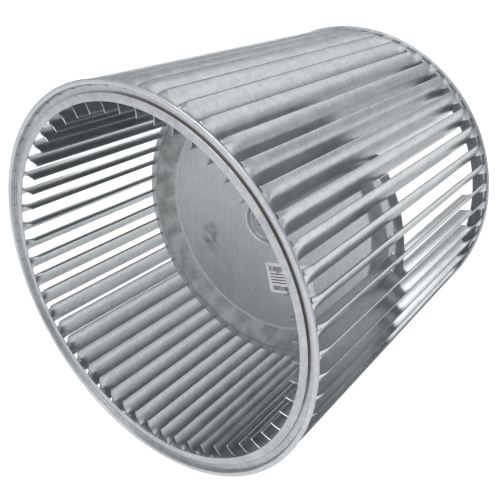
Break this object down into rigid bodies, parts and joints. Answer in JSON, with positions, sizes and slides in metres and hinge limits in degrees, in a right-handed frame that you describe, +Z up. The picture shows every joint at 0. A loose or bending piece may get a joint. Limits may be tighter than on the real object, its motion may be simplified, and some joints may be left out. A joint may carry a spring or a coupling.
{
  "type": "blower wheel",
  "caption": "Double-inlet forward-curved blower wheel of galvanised sheet, with two pressed end rings, a dished centre disc and a set-screw hub for a round motor shaft.",
  "frame": {"origin": "centre of the wheel: on the bore's axis, at the middle of the width", "axes": "+Y along the bore's axis from the front opening, the side the label faces, to the rear opening; +Z up, along the set screw"},
  "size_m": [0.2698, 0.2666, 0.2698],
  "materials": {
    "galvanised_sheet": "fine-grained galvanised sheet",
    "galvanised_ring": "pressed galvanised sheet",
    "galvanised_disc": "dull galvanised sheet",
    "hub_steel": "turned steel",
    "black_steel": "black oxide",
    "label_paper": "printed label"
  },
  "bodies": {
    "wheel": {"blade_01": "galvanised_sheet", "blade_02": "galvanised_sheet", "blade_03": "galvanised_sheet", "blade_04": "galvanised_sheet", "blade_05": "galvanised_sheet", "blade_06": "galvanised_sheet", "blade_07": "galvanised_sheet", "blade_08": "galvanised_sheet", "blade_09": "galvanised_sheet", "blade_10": "galvanised_sheet", "blade_11": "galvanised_sheet", "blade_12": "galvanised_sheet", "blade_13": "galvanised_sheet", "blade_14": "galvanised_sheet", "blade_15": "galvanised_sheet", "blade_16": "galvanised_sheet", "blade_17": "galvanised_sheet", "blade_18": "galvanised_sheet", "blade_19": "galvanised_sheet", "blade_20": "galvanised_sheet", "blade_21": "galvanised_sheet", "blade_22": "galvanised_sheet", "blade_23": "galvanised_sheet", "blade_24": "galvanised_sheet", "blade_25": "galvanised_sheet", "blade_26": "galvanised_sheet", "blade_27": "galvanised_sheet", "blade_28": "galvanised_sheet", "blade_29": "galvanised_sheet", "blade_30": "galvanised_sheet", "blade_31": "galvanised_sheet", "blade_32": "galvanised_sheet", "blade_33": "galvanised_sheet", "blade_34": "galvanised_sheet", "blade_35": "galvanised_sheet", "blade_36": "galvanised_sheet", "blade_37": "galvanised_sheet", "blade_38": "galvanised_sheet", "blade_39": "galvanised_sheet", "blade_40": "galvanised_sheet", "blade_41": "galvanised_sheet", "blade_42": "galvanised_sheet", "blade_43": "galvanised_sheet", "blade_44": "galvanised_sheet", "blade_45": "galvanised_sheet", "blade_46": "galvanised_sheet", "blade_47": "galvanised_sheet", "blade_48": "galvanised_sheet", "blade_49": "galvanised_sheet", "blade_50": "galvanised_sheet", "blade_51": "galvanised_sheet", "blade_52": "galvanised_sheet", "blade_53": "galvanised_sheet", "blade_54": "galvanised_sheet", "front_end_ring": "galvanised_ring", "rear_end_ring": "galvanised_ring", "centre_disc": "galvanised_disc", "hub": "hub_steel", "disc_label": "label_paper"},
    "set_screw": {"set_screw": "black_steel"}
  },
  "joints": [
    {"name": "set_screw_travel", "type": "slide", "parent": "wheel", "child": "set_screw", "axis": [0, 0, 1], "range_m": [-0.0018, 0.0045]}
  ]
}
